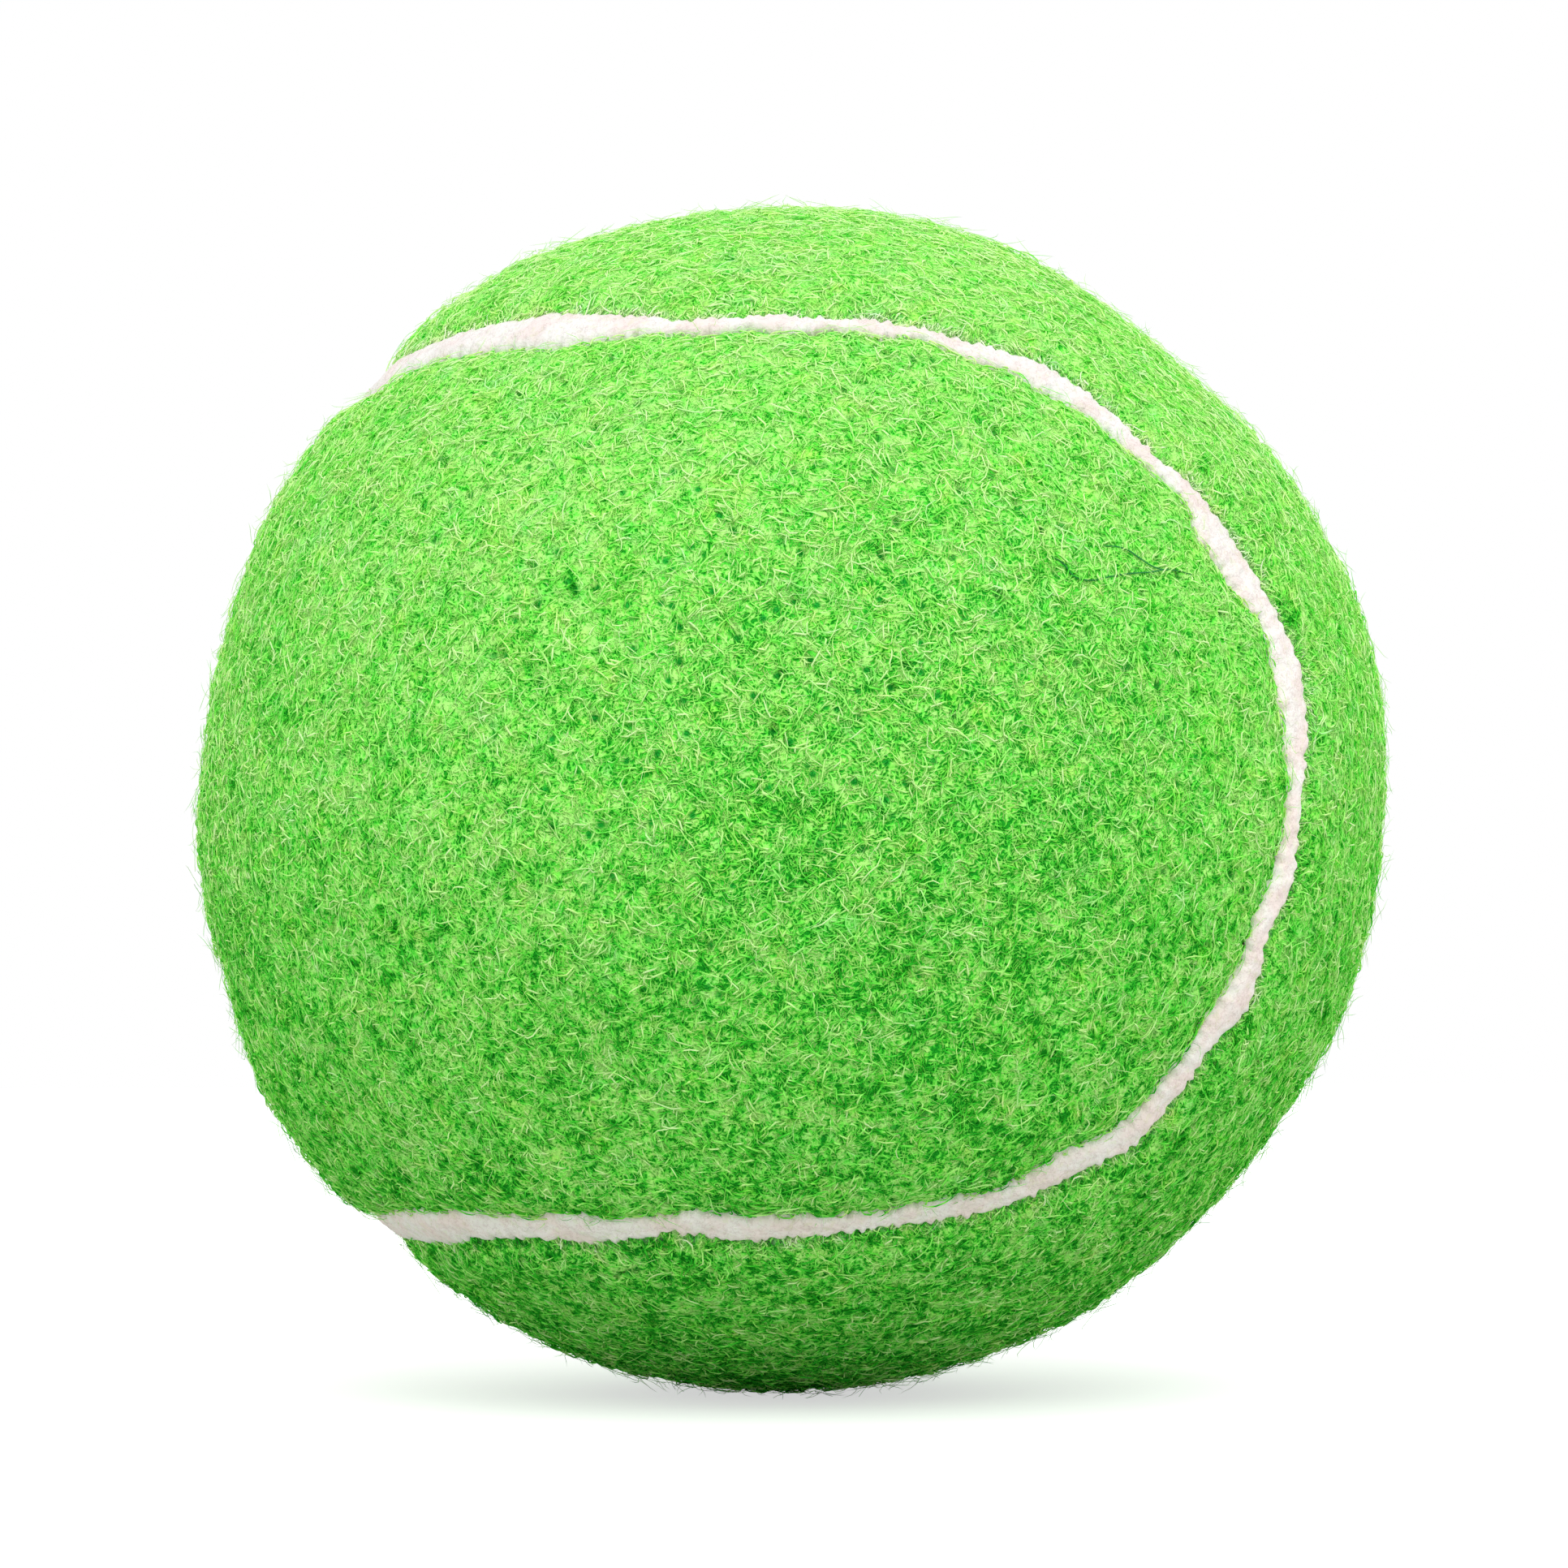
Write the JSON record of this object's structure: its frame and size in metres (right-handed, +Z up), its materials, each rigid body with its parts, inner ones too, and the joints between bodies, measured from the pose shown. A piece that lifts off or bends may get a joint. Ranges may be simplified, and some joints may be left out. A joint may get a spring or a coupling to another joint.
{
  "type": "tennis ball",
  "caption": "Tennis ball: cemented rubber core in half shells, covered by interlocking dog-bone panels of green felt with a pale cement seam.",
  "frame": {"origin": "centre of the ball", "axes": "+X is the seam's turning axis and points through the waist of the right felt panel; the left panel's lobes lie at -Y and +Y, the right panel's at -Z and +Z; +Z up, with the core's joint in the XY plane"},
  "size_m": [0.067, 0.067, 0.067],
  "materials": {
    "core_rubber": "matte",
    "joint_cement": "matte",
    "backing_cement": "matte",
    "felt": "matte",
    "seam_cement": "matte"
  },
  "bodies": {
    "root": {"core_half_top": "core_rubber", "core_half_bottom": "core_rubber", "core_joint_cement": "joint_cement", "backing_cement_left": "backing_cement", "backing_cement_right": "backing_cement", "felt_panel_left": "felt", "felt_panel_right": "felt", "seam_cement": "seam_cement"}
  },
  "joints": []
}
